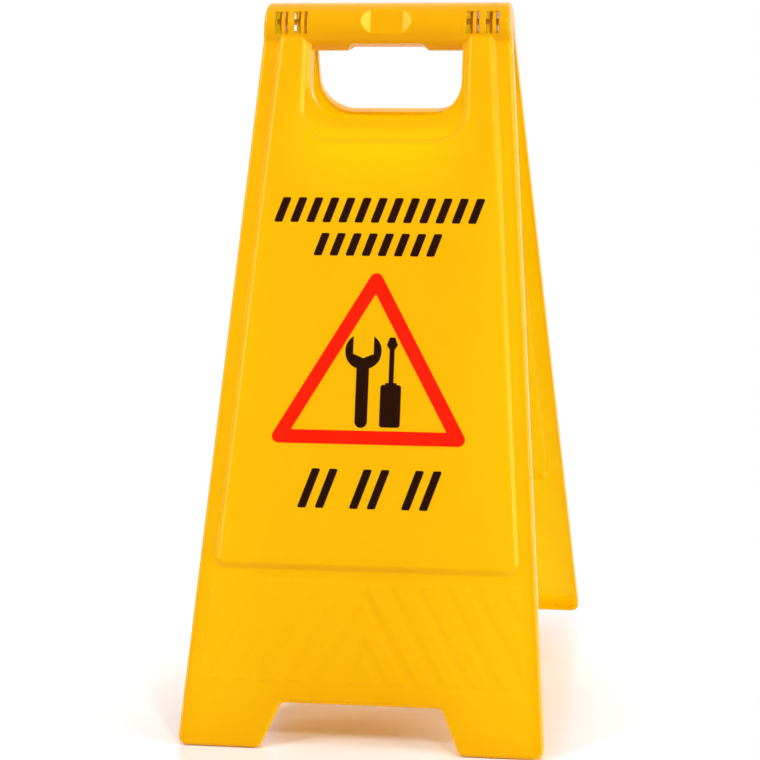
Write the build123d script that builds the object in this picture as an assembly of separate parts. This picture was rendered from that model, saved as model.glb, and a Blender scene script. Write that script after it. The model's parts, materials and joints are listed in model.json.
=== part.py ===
from build123d import *
import math
import os

# Folding warning sign: two moulded leaves that share a grip bar and turn on two pins.
# Millimetres and degrees. The sign stands open on z = 0, with the hinge axis along X.

# Leaf
foot_width = 300.0          # across the soles
hinge_width = 208.6         # across the grip bar, level with the hinge axis
leaf_length = 607.0         # hinge axis to sole, along the leaf
half_angle = 19.0           # lean of each leaf from the upright when the sign stands open
wall = 2.4                  # moulded wall
border_depth = 13.0         # parting plane to the border's face
edge_round = 3.0            # round-over along the leaf's outer edge
parting_gap = 0.15          # each rim stands back this far from the parting plane

# Feet
foot_gap_height = 37.2      # gap between the feet, up the leaf from the soles
foot_gap_top = 131.8        # width of the gap at its top
foot_gap_bottom = 164.0     # width of the gap between the soles
foot_round = 7.0            # corners of the soles
foot_gap_round = 5.0        # upper corners of the gap

# Grip bar
bar_radius = 20.4
bar_drop = 4.6              # centre of the bar below the hinge axis
bar_wall = 2.6
bar_blend = 6.0             # hollow round where the bar runs into the border
stop_gap = 0.15             # each stop face stands back this far from the upright plane
thumb_floor = 27.0          # length of the thumb recess at its floor
thumb_slope = 8.0           # run of the recess's end walls
thumb_depth = 2.8
relief_length = 60.0        # shallow relief in the bar's lower edge
relief_slope = 4.5
relief_depth = 3.2

# Hand opening
opening_side = 39.7         # bar left beside the opening, at each end
opening_bottom = 84.2       # lower edge below the hinge axis
opening_round = 30.0        # lower corners
opening_draft = 5.0
opening_chamfer = 2.6

# Raised panel
panel_rise = 3.5
panel_margin = 13.5         # border left beside the panel
panel_foot = 142.2          # lower edge above the soles, along the leaf
panel_round = 9.0           # lower corners
panel_slope = 45.0          # lean of the panel's edge from square
panel_ease = 0.9            # height of the softer upper part of that edge
panel_ease_slope = 65.0     # its lean from square
surround_side = 3.2         # flat surround left beside the hand opening
surround_drop = 19.3        # flat surround left under the hand opening
surround_round = 24.0

# Chevron ribs under the panel
rib_angle = 29.5            # lean of each arm from the leaf's centre line
rib_pitch = 41.0            # peak to peak, along the leaf
rib_first = 40.0            # first whole peak below the panel's lower edge
rib_width = 17.6
rib_flank = 4.6             # run of each sloping side
rib_height = 0.7
rib_end_slope = 70.0        # lean of each rib's ends from square
rib_gap_above = 7.0         # clear strip under the panel
rib_gap_below = 16.0        # clear strip above the gap between the feet
rib_margin = 10.5           # clear strip beside the leaf's edge

# Hinges
hinge_inset = 23.3          # middle of each hinge in from the bar's end
window_pitch = 16.4         # the two windows of a hinge, centre to centre
window_width = 11.2
window_height = 18.8
window_drop = 5.7           # window centre below the hinge axis
lug_width = 2.8
lug_play = 0.3              # between neighbouring lugs
lug_wall = 9.5              # plastic around the pin
lug_sink = 2.0              # how far a lug runs into the bar's wall
pin_diameter = 5.0
pin_overhang = 1.5          # pin past the outermost window at each end
pin_chamfer = 0.5
press_grip = 0.04           # radial grip of the front leaf's lugs on the pin
running_clearance = 0.06    # radial clearance of the rear leaf's lugs on the pin

# Worked out from the sizes above
lean = math.radians(half_angle)
hinge_height = leaf_length * math.cos(lean)
side_taper = (foot_width - hinge_width) / 2 / leaf_length
gap_top = leaf_length - foot_gap_height
bar_bore = bar_radius - bar_wall
opening_half = hinge_width / 2 - opening_side
panel_bottom = leaf_length - panel_foot
hinge_middle = hinge_width / 2 - hinge_inset
pin_radius = pin_diameter / 2
lug_radius = pin_radius + lug_wall
clear = 2 * bar_radius      # reach of a cut that has to pass right through the leaf
sink = wall / 4             # overlap of an added piece with the wall that carries it


# A leaf is drawn in its own frame: X across, Y up the leaf, Z out of its face, origin on the
# hinge axis. Distances named "down" run from the hinge axis towards the feet.


def half_width(down):
    return hinge_width / 2 + side_taper * down


def outline_face(points):
    """A face within points that run anticlockwise, so that it looks out of the leaf."""
    return make_face(Polyline(*points, close=True))


def mirrored_face(right):
    """A face from the right-hand side of its outline, listed from the top down."""
    left = [(-x, y) for x, y in right]
    return outline_face(left + right[::-1])


def round_corners(face, radius, row=0):
    """Rounds the corners of a face that lie in one row, counted from the lowest."""
    return fillet(face.vertices().group_by(Axis.Y)[row], radius)


def leaf_outline():
    """The leaf square on at the parting plane: tapered sides and two feet."""
    face = mirrored_face([
        (half_width(-bar_radius), bar_radius),
        (half_width(leaf_length), -leaf_length),
        (foot_gap_bottom / 2, -leaf_length),
        (foot_gap_top / 2, -gap_top),
    ])
    face = round_corners(face, foot_gap_round, row=1)
    return round_corners(face, foot_round)


def level_prism(face, low, high):
    """Carries a face out of the leaf along lines that lie level when the sign stands open."""
    run = Vector(0, -math.tan(lean), 1)
    start = Pos(0, -low * math.tan(lean), low) * face
    return extrude(start, amount=(high - low) * run.length, dir=run.normalized())


def lift(face, low, high, taper=0):
    """Carries a face straight out of the leaf from one depth to another."""
    return extrude(Pos(0, 0, low) * face, amount=high - low, taper=taper)


def across(face):
    """Carries a section, drawn up and out, right across the leaf."""
    return extrude(Plane.YZ * face, amount=foot_width, both=True)


def stop_line(up):
    """Distance out of the leaf of the upright plane where the two bars butt, at a height."""
    return stop_gap / math.cos(lean) + up * math.tan(lean)


def outer_section():
    """Leaf section, up and out: stop face, round bar, hollow blend and border."""
    rise = math.tan(lean)
    foot = stop_line(0)
    # The stop line meets the bar's circle.
    a = 1 + rise ** 2
    b = bar_drop + foot * rise
    c = bar_drop ** 2 + foot ** 2 - bar_radius ** 2
    crest_up = (-b + math.sqrt(b ** 2 - a * c)) / a
    crest = Vector(crest_up, stop_line(crest_up))
    centre = Vector(-bar_drop, 0)
    # The blend is a circle that touches both the bar and the border's face.
    blend_out = border_depth + bar_blend
    blend_up = -bar_drop - math.sqrt((bar_radius + bar_blend) ** 2 - blend_out ** 2)
    blend = Vector(blend_up, blend_out)
    bar_end = centre + (blend - centre).normalized() * bar_radius
    border_start = Vector(blend_up, border_depth)
    bar_middle = centre + ((crest - centre) + (bar_end - centre)).normalized() * bar_radius
    towards = (bar_end - blend).normalized() + Vector(0, -1)
    blend_middle = blend + towards.normalized() * bar_blend
    low = -leaf_length - border_depth
    start = Vector((parting_gap - foot) / rise, parting_gap)
    edges = [
        Line(start, crest),
        ThreePointArc(crest, bar_middle, bar_end),
        ThreePointArc(bar_end, blend_middle, border_start),
        Polyline(border_start, (low, border_depth), (low, parting_gap), start),
    ]
    return make_face(edges)


def bar_rod(radius):
    """A full rod along the grip bar."""
    return across(Pos(-bar_drop, 0) * Circle(radius))


def leaf_block():
    """The leaf's outside as one solid, with its outer edge rounded over."""
    block = across(outer_section()) & level_prism(leaf_outline(), 0, clear)
    outer = block.edges().filter_by_position(Axis.Z, border_depth, clear)
    along_bar = outer.filter_by(Axis.X).filter_by_position(Axis.Y, -opening_bottom, bar_radius)
    return fillet(outer - along_bar, edge_round)


def bar_backing():
    """Where the bar's hollow stops short, so that the wall stays whole behind its recesses."""
    thumb = Box(
        thumb_floor + 2 * thumb_slope,
        2 * bar_radius,
        clear,
        align=(Align.CENTER, Align.CENTER, Align.MIN),
    )
    relief = Box(
        relief_length + 2 * relief_slope,
        bar_radius,
        2 * clear,
        align=(Align.CENTER, Align.MAX, Align.CENTER),
    )
    thumb_back = bar_radius - thumb_depth - bar_wall
    relief_back = bar_radius - relief_depth - bar_wall
    return Pos(0, -bar_drop, thumb_back) * thumb + Pos(0, -bar_drop - relief_back, 0) * relief


def cavity():
    """The hollow behind the border and inside the bar."""
    depth = border_depth - wall
    low = -leaf_length - border_depth
    tray = Polyline(
        (-bar_drop, -clear),
        (-bar_drop, depth),
        (low, depth),
        (low, -clear),
        close=True,
    )
    section = make_face(tray) + Pos(-bar_drop, 0) * Circle(bar_bore)
    inside = level_prism(offset(leaf_outline(), -wall), -clear, clear)
    hollow = across(section) & inside
    return hollow - bar_backing()


def panel_outline(inset):
    """Raised panel with the notch that leaves a flat surround about the hand opening."""
    top = bar_drop
    bottom = panel_bottom - inset
    margin = panel_margin + inset
    panel = mirrored_face([(half_width(top) - margin, -top), (half_width(bottom) - margin, -bottom)])
    panel = round_corners(panel, panel_round - inset)
    half = opening_half + surround_side + inset
    low = opening_bottom + surround_drop + inset
    notch = mirrored_face([(half, top), (half, -low)])
    return panel - round_corners(notch, surround_round + inset)


def raised_panel():
    """The raised panel, with sloping sides and a soft upper edge."""
    top = border_depth + panel_rise
    shoulder = top - panel_ease
    inset = (panel_rise - panel_ease) * math.tan(math.radians(panel_slope))
    sides = lift(panel_outline(0), border_depth - sink, border_depth)
    sides += lift(panel_outline(0), border_depth, shoulder, panel_slope)
    return sides + lift(panel_outline(inset), shoulder, top, panel_ease_slope)


def panel_pocket():
    """The panel's hollow back, one wall behind its face and its sloping sides."""
    slope = math.radians(panel_slope)
    inset = wall * (1 / math.cos(slope) - math.tan(slope))
    back = border_depth - wall
    return lift(panel_outline(inset), back, back + panel_rise, panel_slope)


def opening_outline(grow):
    """Hand opening, square at the bar and round at its lower corners."""
    half = opening_half + grow
    bottom = opening_bottom + grow
    face = mirrored_face([(half, -bar_drop), (half, -bottom)])
    return round_corners(face, opening_round + grow)


def opening_plug(grow, low):
    """What fills the hand opening below the border's face, drafted towards the parting plane."""
    return lift(opening_outline(grow), border_depth, low, opening_draft)


def opening_flange():
    """The wall that turns in about the hand opening, still filled."""
    return opening_plug(wall, parting_gap) - bar_rod(bar_bore)


def opening_cut():
    """The hand opening with its chamfered edge, clear of the bar."""
    cut = opening_plug(0, -clear)
    cut += lift(opening_outline(0), border_depth - opening_chamfer, border_depth, -45)
    cut += lift(opening_outline(opening_chamfer), border_depth, clear)
    return cut - bar_rod(bar_radius)


def thumb_recess():
    """Flat-floored recess in the bar with sloping ends."""
    floor = thumb_floor / 2
    mouth = floor + thumb_slope
    low = bar_radius - thumb_depth
    section = Polyline(
        (-floor, low),
        (floor, low),
        (mouth, bar_radius),
        (mouth, clear),
        (-mouth, clear),
        (-mouth, bar_radius),
        close=True,
    )
    plane = Plane(origin=(0, -bar_drop, 0), x_dir=(1, 0, 0), z_dir=(0, -1, 0))
    return extrude(plane * make_face(section), amount=bar_radius, both=True)


def bar_relief():
    """Shallow relief in the middle of the bar's lower edge."""
    edge = -bar_drop - bar_radius
    top = relief_length / 2
    bottom = top + relief_slope
    face = mirrored_face([(top, edge + relief_depth), (bottom, edge), (bottom, edge - relief_depth)])
    return extrude(face, amount=bar_radius, both=True)


def window_middles():
    """Centres of the four hinge windows across the bar."""
    near = hinge_middle - window_pitch / 2
    far = hinge_middle + window_pitch / 2
    return [-far, -near, near, far]


def hinge_windows():
    shape = Rectangle(window_width, window_height)
    return [lift(Pos(x, -window_drop) * shape, lug_radius, clear) for x in window_middles()]


def lug_section(bore):
    """Hinge lug, up and out: a web across the bar's hollow that ends in an eye round the pin."""
    top = window_height / 2 - window_drop + bar_wall
    bottom = -window_height / 2 - window_drop - bar_wall
    reach = bar_bore + lug_sink
    half = Polyline(
        (0, parting_gap),
        (top, max(stop_line(top), parting_gap)),
        (top, clear),
        (bottom, clear),
        (bottom, parting_gap),
        close=True,
    )
    web = make_face(half) & Pos(-bar_drop, 0) * Circle(reach)
    return web + Circle(lug_radius) - Circle(bore)


def hinge_lugs(bore):
    """One lug right of the middle of each window, so that a turned leaf's lugs fall beside it."""
    lugs = []
    for middle in window_middles():
        plane = Plane.YZ.offset(middle + lug_play / 2)
        lugs.append(extrude(plane * lug_section(bore), amount=lug_width))
    return lugs


def rib_field(top, bottom):
    """The right-hand half of the field under the panel that the chevron ribs fill."""
    face = mirrored_face([
        (half_width(top) - rib_margin, -top),
        (half_width(bottom) - rib_margin, -bottom),
    ])
    field = lift(face, border_depth - sink, border_depth + 2 * rib_height, rib_end_slope)
    right = Box(foot_width, leaf_length, clear, align=(Align.MIN, Align.MAX, Align.CENTER))
    return field & right


def rib_section():
    half = rib_width / 2
    flat = half - rib_flank
    return outline_face([
        (-half, -sink),
        (half, -sink),
        (half, 0),
        (flat, rib_height),
        (-flat, rib_height),
        (-half, 0),
    ])


def chevron_ribs():
    """Low sloping-sided ribs that meet in peaks on the leaf's centre line."""
    top = panel_bottom + rib_gap_above
    bottom = gap_top + border_depth * math.tan(lean) - rib_gap_below
    field = rib_field(top, bottom)
    angle = math.radians(rib_angle)
    first_peak = panel_bottom + rib_first
    half_peak = rib_width / 2 / math.sin(angle)
    reach = half_width(bottom) / math.tan(angle) + half_peak
    first = math.ceil((top - reach - first_peak) / rib_pitch)
    last = math.floor((bottom + half_peak - first_peak) / rib_pitch)
    ribs = []
    for step in range(first, last + 1):
        plane = Plane(
            origin=(0, -first_peak - step * rib_pitch, border_depth),
            x_dir=(math.cos(angle), math.sin(angle), 0),
            z_dir=(math.sin(angle), -math.cos(angle), 0),
        )
        arm = extrude(plane * rib_section(), amount=leaf_length, both=True) & field
        if arm.volume > 0:
            ribs += [arm, mirror(arm, about=Plane.YZ)]
    return ribs


def leaf(bore):
    """One moulded leaf, with its lugs bored to a radius."""
    shell = leaf_block() + raised_panel() - cavity() - panel_pocket()
    shell = shell + opening_flange() - opening_cut()
    shell = shell - thumb_recess() - bar_relief() - hinge_windows()
    return shell + hinge_lugs(bore) + chevron_ribs()


def stand(shape):
    """Leans a leaf drawn in its own frame to the front, with its hinge axis at its height."""
    return Pos(0, 0, hinge_height) * Rot(90 - half_angle, 0, 0) * shape


def hinge_pin(side):
    """Plain pin through the lugs at one end of the bar."""
    length = window_pitch + window_width + 2 * pin_overhang
    pin = Cylinder(pin_radius, length, rotation=(0, 90, 0))
    pin = chamfer(pin.edges(), pin_chamfer)
    return Pos(side * hinge_middle, 0, hinge_height) * pin


turned = Rot(0, 0, 180)
parts = {
    "front_leaf": stand(leaf(pin_radius - press_grip)),
    "rear_leaf": turned * stand(leaf(pin_radius + running_clearance)),
    "hinge_pin_left": hinge_pin(-1),
    "hinge_pin_right": hinge_pin(1),
}

os.makedirs("parts", exist_ok=True)
for name, shape in parts.items():
    export_step(shape, f"parts/{name}.step")
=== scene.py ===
import bpy
import json
import math
import numpy as np
from mathutils import Matrix, Vector


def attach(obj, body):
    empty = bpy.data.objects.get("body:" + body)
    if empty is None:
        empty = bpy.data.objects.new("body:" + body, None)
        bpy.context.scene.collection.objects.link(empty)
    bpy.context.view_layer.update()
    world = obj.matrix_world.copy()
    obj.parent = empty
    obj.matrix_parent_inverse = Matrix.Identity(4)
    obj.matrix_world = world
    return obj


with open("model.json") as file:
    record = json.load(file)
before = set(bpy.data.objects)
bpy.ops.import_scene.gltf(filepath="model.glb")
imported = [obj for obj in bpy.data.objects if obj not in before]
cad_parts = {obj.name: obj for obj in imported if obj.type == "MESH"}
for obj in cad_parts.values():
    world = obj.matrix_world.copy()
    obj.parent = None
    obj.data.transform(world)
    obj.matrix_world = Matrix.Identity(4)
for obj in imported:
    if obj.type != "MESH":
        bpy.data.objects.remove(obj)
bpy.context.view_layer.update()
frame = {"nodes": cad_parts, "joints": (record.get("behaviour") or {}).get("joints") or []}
print("frame loaded:", ", ".join(sorted(frame["nodes"])))

mm = 0.001
scene = bpy.context.scene
fold = frame["joints"][0]
hingeHeight = fold["pos_m"][2]
lean = math.radians(fold["range_deg"][1] / 2)   # the sign folds through twice the lean of a leaf
leafTurn = {"front": 1, "rear": -1}             # the rear leaf is the front one turned about the upright


# Leaf coordinates are across, down from the hinge axis, and out of the leaf's face.
def leafToWorld(across, down, out, turn):
    away = down * math.sin(lean) + out * math.cos(lean)
    up = hingeHeight - down * math.cos(lean) + out * math.sin(lean)
    return np.stack(np.broadcast_arrays(turn * across, -turn * away, up), axis=-1)


# How far down and how far out of the front leaf's parting plane each point of it lies.
def frontLeafReach():
    mesh = frame["nodes"]["front_leaf"].data
    points = np.empty(len(mesh.vertices) * 3)
    mesh.vertices.foreach_get("co", points)
    away, up = -points[1::3], points[2::3] - hingeHeight
    return away * math.sin(lean) - up * math.cos(lean), away * math.cos(lean) + up * math.sin(lean)


belowBar = 150 * mm   # down from the hinge axis, clear of the grip bar
leafDown, leafOut = frontLeafReach()
panelOut = leafOut[leafDown > belowBar].max()   # the print lies on the raised panel
print("panel face lies %.2f mm out" % (panelOut / mm))


# Colours and nodes

def linear(code):
    shares = [int(code[i:i + 2], 16) / 255 for i in (1, 3, 5)]
    return [c / 12.92 if c <= 0.04045 else ((c + 0.055) / 1.055) ** 2.4 for c in shares] + [1]


# One node: plain settings go on the node or its sockets, and links come from other nodes' outputs.
def addNode(tree, kind, settings, links=None):
    node = tree.nodes.new("ShaderNode" + kind)
    for key, value in settings.items():
        if isinstance(key, str) and hasattr(node, key):
            setattr(node, key, value)
        else:
            node.inputs[key].default_value = value
    for key, source in (links or {}).items():
        tree.links.new(source, node.inputs[key])
    return node


def newMaterial(name):
    material = bpy.data.materials.new(name)
    material.use_nodes = True
    material.node_tree.nodes.clear()
    return material, material.node_tree


# Injection-moulded polypropylene: a deep even yellow that glows a little where light comes
# through its thin wall, satin gloss, faint flow mottling, and the fine grain of a blasted mould.
plastic = dict(
    colour="#ffb000", deeper="#feaa00", sheen="#ffe066",
    roughness=(0.17, 0.24), gloss=0.45,
    depth=45.0 * mm, spread=(1.0, 1.0, 0.02), through=0.4,   # light wanders little in the blue
    mottle=70 * mm, mottleDetail=3, mottleRange=(0.3, 0.7),
    grain=0.9 * mm, grainDetail=2, grainHeight=0.006 * mm, grainStrength=0.4,   # coarser than real to show
    easedEdge=1.6 * mm, edgeSamples=4,
)


def mouldedPolypropylene():
    material, tree = newMaterial("moulded_polypropylene")
    place = addNode(tree, "TexCoord", {}).outputs["Object"]
    flow = addNode(tree, "TexNoise", {"Scale": 1 / plastic["mottle"], "Detail": plastic["mottleDetail"]},
                   {"Vector": place})
    tone = addNode(tree, "MixRGB", {1: linear(plastic["colour"]), 2: linear(plastic["deeper"])},
                   {0: flow.outputs["Fac"]})
    least, most = plastic["mottleRange"]
    low, high = plastic["roughness"]
    gloss = addNode(tree, "MapRange", {"From Min": least, "From Max": most, "To Min": low, "To Max": high},
                    {"Value": flow.outputs["Fac"]})
    grain = addNode(tree, "TexNoise", {"Scale": 1 / plastic["grain"], "Detail": plastic["grainDetail"]},
                    {"Vector": place})
    edge = addNode(tree, "Bevel", {"samples": plastic["edgeSamples"], "Radius": plastic["easedEdge"]})
    bump = addNode(tree, "Bump", {"Strength": plastic["grainStrength"], "Distance": plastic["grainHeight"]},
                   {"Height": grain.outputs["Fac"], "Normal": edge.outputs["Normal"]})
    skin = addNode(tree, "BsdfPrincipled",
                   {"Specular IOR Level": plastic["gloss"], "Specular Tint": linear(plastic["sheen"]),
                    "Subsurface Weight": plastic["through"], "Subsurface Radius": plastic["spread"],
                    "Subsurface Scale": plastic["depth"]},
                   {"Base Color": tone.outputs[0], "Roughness": gloss.outputs[0], "Normal": bump.outputs[0]})
    addNode(tree, "OutputMaterial", {}, {"Surface": skin.outputs[0]})
    return material


# Drawn steel wire: a little dull, with fine streaks along the pin. Its warm tone is a painted
# reflection of the yellow plastic around it.
steel = dict(
    colour="#d8b060", streaked="#b08a40", roughness=(0.24, 0.38),
    streak=0.25 * mm, streakLength=9 * mm, streakDetail=2,
)


def drawnSteel():
    material, tree = newMaterial("drawn_steel")
    place = addNode(tree, "TexCoord", {}).outputs["Object"]
    along = [1 / steel["streakLength"], 1 / steel["streak"], 1 / steel["streak"]]
    stretched = addNode(tree, "Mapping", {"Scale": along}, {"Vector": place})
    streaks = addNode(tree, "TexNoise", {"Scale": 1, "Detail": steel["streakDetail"]},
                      {"Vector": stretched.outputs[0]})
    tone = addNode(tree, "MixRGB", {1: linear(steel["streaked"]), 2: linear(steel["colour"])},
                   {0: streaks.outputs["Fac"]})
    low, high = steel["roughness"]
    gloss = addNode(tree, "MapRange", {"To Min": low, "To Max": high}, {"Value": streaks.outputs["Fac"]})
    skin = addNode(tree, "BsdfPrincipled", {"Metallic": 1},
                   {"Base Color": tone.outputs[0], "Roughness": gloss.outputs[0]})
    addNode(tree, "OutputMaterial", {}, {"Surface": skin.outputs[0]})
    return material


# Screen-printed ink: a thin smooth film, nearly even, with the cloudiness of a squeegee pull.
inks = dict(
    black=dict(colour="#1a0a04", thin="#281208", sheen="#7a4a20"),
    red=dict(colour="#f81a08", thin="#ff240c", sheen="#ff5030"),
    roughness=(0.34, 0.46), gloss=0.3,
    cloud=14 * mm, cloudDetail=4, mesh=0.8 * mm, meshDetail=1,   # mesh marks drawn coarser than real
)


def screenInk(name):
    ink = inks[name]
    material, tree = newMaterial("screen_ink_" + name)
    place = addNode(tree, "TexCoord", {}).outputs["Object"]
    cloud = addNode(tree, "TexNoise", {"Scale": 1 / inks["cloud"], "Detail": inks["cloudDetail"]},
                    {"Vector": place})
    mesh = addNode(tree, "TexNoise", {"Scale": 1 / inks["mesh"], "Detail": inks["meshDetail"]},
                   {"Vector": place})
    tone = addNode(tree, "MixRGB", {1: linear(ink["colour"]), 2: linear(ink["thin"])},
                   {0: cloud.outputs["Fac"]})
    low, high = inks["roughness"]
    gloss = addNode(tree, "MapRange", {"To Min": low, "To Max": high}, {"Value": mesh.outputs["Fac"]})
    skin = addNode(tree, "BsdfPrincipled",
                   {"Specular IOR Level": inks["gloss"], "Specular Tint": linear(ink["sheen"])},
                   {"Base Color": tone.outputs[0], "Roughness": gloss.outputs[0]})
    addNode(tree, "OutputMaterial", {}, {"Surface": skin.outputs[0]})
    return material


def dress(node, material):
    slots = frame["nodes"][node].data.materials
    slots.clear()
    slots.append(material)


yellow, wire = mouldedPolypropylene(), drawnSteel()
inkBlack, inkRed = screenInk("black"), screenInk("red")
for node in ("front_leaf", "rear_leaf"):
    dress(node, yellow)
for node in ("hinge_pin_left", "hinge_pin_right"):
    dress(node, wire)
print("leaves and pins dressed")


# Print on the panels

film = dict(proud=0.12 * mm, sunk=0.05 * mm, arcSteps=8)


# An outline whose corners are arcs: each corner gives way to the arc of its own radius that
# touches both sides there. The arc's centre lies on the corner's bisector, radius over the
# sine of the half angle away.
def roundedOutline(corners, radii):
    points = np.array(corners, float)
    radii = np.broadcast_to(np.array(radii, float), len(points))[:, None]
    back = np.roll(points, 1, axis=0) - points
    ahead = np.roll(points, -1, axis=0) - points
    back /= np.linalg.norm(back, axis=1, keepdims=True)
    ahead /= np.linalg.norm(ahead, axis=1, keepdims=True)
    half = np.arccos(np.clip((back * ahead).sum(1, keepdims=True), -1, 1)) / 2
    bisector = back + ahead
    bisector /= np.linalg.norm(bisector, axis=1, keepdims=True)
    centre = points + bisector * radii / np.sin(half)
    start = points + back * radii / np.tan(half) - centre
    end = points + ahead * radii / np.tan(half) - centre
    share = np.linspace(0, 1, film["arcSteps"])[None, :, None]
    chord = start[:, None] * (1 - share) + end[:, None] * share
    chord /= np.linalg.norm(chord, axis=2, keepdims=True)
    return (centre[:, None] + chord * radii[:, None]).reshape(-1, 2)


# A whole outline from the corners of its right-hand half. A first corner on the middle line
# isn't doubled.
def mirroredOutline(right, radii, place):
    first = 1 if right[0, 0] == 0 else 0
    left = right[first:][::-1] * (-1, 1)
    corners = np.concatenate([right, left]) + place
    return roundedOutline(corners, np.concatenate([radii, radii[first:][::-1]]))


# The area inside an outline, with a sign that tells which way round it runs.
def areaOf(outline):
    ahead = np.roll(outline, -1, axis=0)
    return (outline[:, 0] * ahead[:, 1] - ahead[:, 0] * outline[:, 1]).sum() / 2


def pieceFrom(name, points, faces, material, body):
    mesh = bpy.data.meshes.new(name)
    mesh.from_pydata(points.tolist(), [], faces)
    mesh.materials.append(material)
    piece = bpy.data.objects.new(name, mesh)
    scene.collection.objects.link(piece)
    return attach(piece, body)


# A film of ink: each outline, in millimetres across and down the leaf, is carried from just
# under the panel's face to just proud of it, and closed by a flat cap at both levels. Where
# an outline comes as a pair, the second one is a hole in the first with as many points.
def inkFilm(name, outlines, material, body):
    points, faces, first = [], [], 0
    for outline in outlines:
        loops = outline if isinstance(outline, tuple) else (outline,)
        loops = [loop if areaOf(loop) < 0 else loop[::-1] for loop in loops]
        count = len(loops[0])
        ring = np.arange(count)
        ahead = np.roll(ring, -1)
        low, high = first, first + count
        for loop in loops:
            for level in (panelOut - film["sunk"], panelOut + film["proud"]):
                across, down = loop.T * mm
                points.append(leafToWorld(across, down, level, leafTurn[body]))
        faces += np.stack([low + ring, low + ahead, high + ahead, high + ring], 1).tolist()
        if len(loops) == 1:
            faces += [(high + ring).tolist(), (low + ring[::-1]).tolist()]
        else:
            innerLow, innerHigh = first + 2 * count, first + 3 * count
            faces += np.stack([innerLow + ahead, innerLow + ring,
                               innerHigh + ring, innerHigh + ahead], 1).tolist()
            faces += np.stack([high + ring, high + ahead, innerHigh + ahead, innerHigh + ring], 1).tolist()
            faces += np.stack([innerLow + ring, innerLow + ahead, low + ahead, low + ring], 1).tolist()
        first += 2 * count * len(loops)
    return pieceFrom(name, np.concatenate(points), faces, material, body)


# Red triangle: an outer outline with round corners and a sharper inner one, a band apart.
triangle = dict(
    apex=(0.3, 212.6), left=(-86.2, 361.1), right=(82.2, 361.1),
    band=11.4, outerRound=5.6, innerRound=0.6,
)


def triangleBand():
    corners = np.array([triangle["apex"], triangle["left"], triangle["right"]])
    # The inner corners are the outer ones shrunk about the centre of the circle inside them.
    sides = np.roll(corners, -1, axis=0) - corners
    lengths = np.linalg.norm(sides, axis=1)
    weights = np.roll(lengths, -1)
    inCentre = (corners * weights[:, None]).sum(0) / weights.sum()
    inRadius = 2 * abs(areaOf(corners)) / lengths.sum()
    inner = inCentre + (corners - inCentre) * (inRadius - triangle["band"]) / inRadius
    return roundedOutline(corners, triangle["outerRound"]), roundedOutline(inner, triangle["innerRound"])


# Open-ended spanner, standing on its handle: the right-hand half from the jaw down, mirrored.
spanner = dict(
    middle=-8.4, top=271.8, bottom=347.3,
    jawHalf=8.6, jawDeep=14.2, jawBack=3.5, jawRound=0.5,
    headMiddle=12.0, headRadius=15.1, headRound=14.0, tipRound=0.3,
    neckRound=0.8, handleHalf=5.2, endRound=5.1,
)


# The head is a circle. It comes from the corners of three tangents, at the jaw's tip, at the
# neck and half way between, with an arc in each corner.
def spannerOutline():
    s = spanner
    tip = np.arcsin(s["jawHalf"] / s["headRadius"])
    neck = np.pi - np.arcsin(s["handleHalf"] / s["headRadius"])
    quarter = (neck - tip) / 4
    angles = np.array([tip, tip + quarter, neck - quarter, neck])
    reach = s["headRadius"] / np.cos([0, quarter, quarter, 0])
    head = np.stack([reach * np.sin(angles), s["headMiddle"] - reach * np.cos(angles)], 1)
    jaw = [(0, s["jawDeep"] + s["jawBack"]), (s["jawHalf"], s["jawDeep"])]
    right = np.concatenate([jaw, head, [(s["handleHalf"], s["bottom"] - s["top"])]])
    radii = np.array([s["jawRound"], s["jawRound"], s["tipRound"], s["headRound"], s["headRound"],
                      s["neckRound"], s["endRound"]])
    return mirroredOutline(right, radii, (s["middle"], s["top"]))


# Screwdriver: a flat tip, thin shank, collar and a round-cornered grip, the right half mirrored.
driver = dict(
    middle=15.5, top=271.9, bottom=346.6,
    tipHalf=2.2, tipRound=0.8, bladeHalf=4.6, bladeDeep=6.5, bladeRound=1.4,
    shankTop=10.2, shankHalf=2.05, shankRound=0.8, creaseRound=0.3,
    collarTop=37.8, collarHalf=4.7, collarRound=0.6, gripTop=39.4, gripHalf=8.6, gripRound=2.4,
)


def driverOutline():
    d = driver
    right = np.array([
        (d["tipHalf"], 0),
        (d["bladeHalf"], d["bladeDeep"]),
        (d["shankHalf"], d["shankTop"]),
        (d["shankHalf"], d["collarTop"]),
        (d["collarHalf"], d["collarTop"]),
        (d["collarHalf"], d["gripTop"]),
        (d["gripHalf"], d["gripTop"]),
        (d["gripHalf"], d["bottom"] - d["top"]),
    ])
    radii = np.array([d["tipRound"], d["bladeRound"], d["shankRound"], d["creaseRound"],
                      d["collarRound"], d["creaseRound"], d["gripRound"], d["gripRound"]])
    return mirroredOutline(right, radii, (d["middle"], d["top"]))


# Rows of slanted bars, evenly spaced between the ends of each row.
barRows = [
    dict(middle=0.0, half=88.5, top=155.0, bottom=176.0, bars=13),
    dict(middle=0.0, half=54.0, top=185.0, bottom=204.0, bars=8),
    dict(middle=-42.0, half=16.5, top=381.5, bottom=414.0, bars=2),
    dict(middle=1.0, half=16.5, top=381.5, bottom=414.0, bars=2),
    dict(middle=44.0, half=16.5, top=381.5, bottom=414.0, bars=2),
]
bar = dict(width=7.0, slant=0.35, round=1.2)   # slant is run over height


def barOutlines(row):
    run = bar["slant"] * (row["bottom"] - row["top"]) / 2
    half = bar["width"] / 2
    room = row["half"] - half - run
    outlines = []
    for x in row["middle"] + np.linspace(-room, room, row["bars"]):
        corners = [(x + run - half, row["top"]), (x + run + half, row["top"]),
                   (x - run + half, row["bottom"]), (x - run - half, row["bottom"])]
        outlines.append(roundedOutline(corners, bar["round"]))
    return outlines


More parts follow.
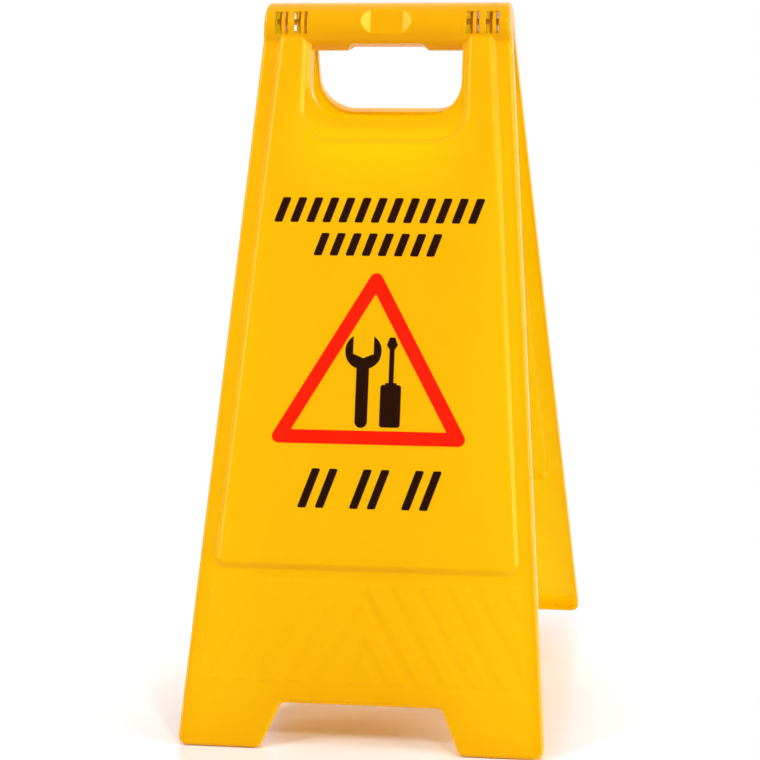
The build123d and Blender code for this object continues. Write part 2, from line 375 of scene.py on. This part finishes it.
for body in leafTurn:
    inkFilm(body + "_print_triangle", [triangleBand()], inkRed, body)
    inkFilm(body + "_print_tools", [spannerOutline(), driverOutline()], inkBlack, body)
    bars = [outline for row in barRows for outline in barOutlines(row)]
    inkFilm(body + "_print_bars", bars, inkBlack, body)
print("both panels printed")


# Studio

studio = dict(
    floorRadius=6.0, floorTurns=64, floorRings=12, floorDrop=0.3 * mm,
    floorColour="#fafafa", fibreColour="#ffffff", fibre=3 * mm, floorRoughness=0.2,
    floorGlow=0.8, room=0.12,
    shadeMiddle=(0, -0.1, 0), shadeFade=(0.2, 0.33),   # the paper shows the sign's shade near here
)


# A strength of 1 for rays from the camera, also by way of a gloss or clear surface, and a
# lower one as light on the sign.
def whiteToTheEye(tree, asLight):
    path = addNode(tree, "LightPath", {}).outputs
    mirrored = addNode(tree, "Math", {"operation": "MAXIMUM"},
                       {0: path["Is Glossy Ray"], 1: path["Is Transmission Ray"]})
    seen = addNode(tree, "Math", {"operation": "MAXIMUM"},
                   {0: path["Is Camera Ray"], 1: mirrored.outputs[0]})
    level = addNode(tree, "MapRange", {"To Min": asLight, "To Max": 1}, {"Value": seen.outputs[0]})
    return level.outputs[0]


# White paper floor: satin around the front feet, where the sign's soft shadow falls, and fading
# from there into the white surroundings.
def paperFloor():
    material, tree = newMaterial("white_paper")
    place = addNode(tree, "TexCoord", {}).outputs["Object"]
    away = addNode(tree, "VectorMath", {"operation": "DISTANCE", 1: studio["shadeMiddle"]}, {0: place})
    near, far = studio["shadeFade"]
    fade = addNode(tree, "MapRange", {"From Min": near, "From Max": far}, {"Value": away.outputs["Value"]})
    fibre = addNode(tree, "TexNoise", {"Scale": 1 / studio["fibre"]}, {"Vector": place})
    tone = addNode(tree, "MixRGB", {1: linear(studio["floorColour"]), 2: linear(studio["fibreColour"])},
                   {0: fibre.outputs["Fac"]})
    satin = addNode(tree, "BsdfPrincipled", {"Roughness": studio["floorRoughness"]},
                    {"Base Color": tone.outputs[0]})
    level = whiteToTheEye(tree, studio["floorGlow"])
    white = addNode(tree, "Emission", {}, {"Strength": level})
    blend = addNode(tree, "MixShader", {}, {0: fade.outputs[0], 1: satin.outputs[0], 2: white.outputs[0]})
    addNode(tree, "OutputMaterial", {}, {"Surface": blend.outputs[0]})
    return material


# The floor is a disc: radius by angle, with its rings closer together near the sign.
def paperDisc():
    turns, rings = studio["floorTurns"], studio["floorRings"]
    level = -studio["floorDrop"]
    radius = studio["floorRadius"] * np.linspace(0, 1, rings)[1:, None] ** 2
    angle = np.linspace(0, 2 * math.pi, turns, endpoint=False)[None, :]
    disc = np.stack(np.broadcast_arrays(radius * np.cos(angle), radius * np.sin(angle), level), -1)
    points = np.concatenate([[(0, 0, level)], disc.reshape(-1, 3)])
    ring = np.arange(turns)
    ahead = np.roll(ring, -1)
    faces = np.stack([np.zeros_like(ring), 1 + ring, 1 + ahead], 1).tolist()
    for k in range(rings - 2):
        inner, outer = 1 + k * turns, 1 + (k + 1) * turns
        faces += np.stack([inner + ring, outer + ring, outer + ahead, inner + ahead], 1).tolist()
    mesh = bpy.data.meshes.new("floor")
    mesh.from_pydata(points.tolist(), [], faces)
    mesh.materials.append(paperFloor())
    floor = bpy.data.objects.new("floor", mesh)
    scene.collection.objects.link(floor)


# Surroundings: white to the eye, and only a dim room as light, so that the softboxes model the
# sign and its satin panels keep their full colour.
def whiteRoom():
    world = bpy.data.worlds.new("room")
    scene.world = world
    world.use_nodes = True
    tree = world.node_tree
    tree.nodes.clear()
    level = whiteToTheEye(tree, studio["room"])
    light = addNode(tree, "Background", {"Color": (1, 1, 1, 1)}, {"Strength": level})
    addNode(tree, "OutputWorld", {}, {"Surface": light.outputs[0]})


# Two large boxes at the sides graze the panels and bring out their edges, two small ones above
# light the thumb recess, the one overhead leaves the panel's lower edge in shade, and the one
# behind shines through the walls. Places and sizes are in metres.
softboxes = dict(
    right=dict(place=(0.82, -1.47, 1.67), size=(0.23, 0.27), watts=9.3, mirrored=True),
    left=dict(place=(-1.16, -1.1, 1.61), size=(0.23, 0.27), watts=10.9, mirrored=True),
    rightSide=dict(place=(4.2, -1.3, 1.4), size=(2.4, 2.6), watts=145, mirrored=True),
    leftSide=dict(place=(-3.2, -1.5, 1.5), size=(0.8, 2.4), watts=42, mirrored=True),
    top=dict(place=(0.1, -0.4, 2.5), size=(1.2, 1.0), watts=11, mirrored=False),
    back=dict(place=(0.1, 1.6, 1.4), size=(1.2, 1.0), watts=35, mirrored=False),
)
aim = Vector((0, 0, 0.3))


def softbox(name, place, size, watts, mirrored):
    lamp = bpy.data.lights.new(name, "AREA")
    lamp.shape = "RECTANGLE"
    lamp.size, lamp.size_y = size
    lamp.energy = watts
    box = bpy.data.objects.new(name, lamp)
    box.location = place
    box.visible_glossy = mirrored
    box.rotation_euler = (aim - Vector(place)).to_track_quat("-Z", "Y").to_euler()
    scene.collection.objects.link(box)


paperDisc()
whiteRoom()
for name, box in softboxes.items():
    softbox("softbox_" + name, **box)
scene.view_settings.view_transform = "Standard"
print("studio lit")


# Camera: its place in metres, turns in degrees, lens and sensor in millimetres

view = dict(place=(0.2959, -2.0059, 0.6826), yaw=8.71, pitch=11.64, roll=-0.58, lens=112.5, sensor=36)

lens = bpy.data.cameras.new("camera")
lens.sensor_width = view["sensor"]
lens.lens = view["lens"]
camera = bpy.data.objects.new("camera", lens)
camera.matrix_world = (
    Matrix.Translation(view["place"])
    @ Matrix.Rotation(math.radians(view["yaw"]), 4, "Z")
    @ Matrix.Rotation(math.radians(90 - view["pitch"]), 4, "X")
    @ Matrix.Rotation(math.radians(view["roll"]), 4, "Z")
)
scene.collection.objects.link(camera)
scene.camera = camera
print("camera placed")
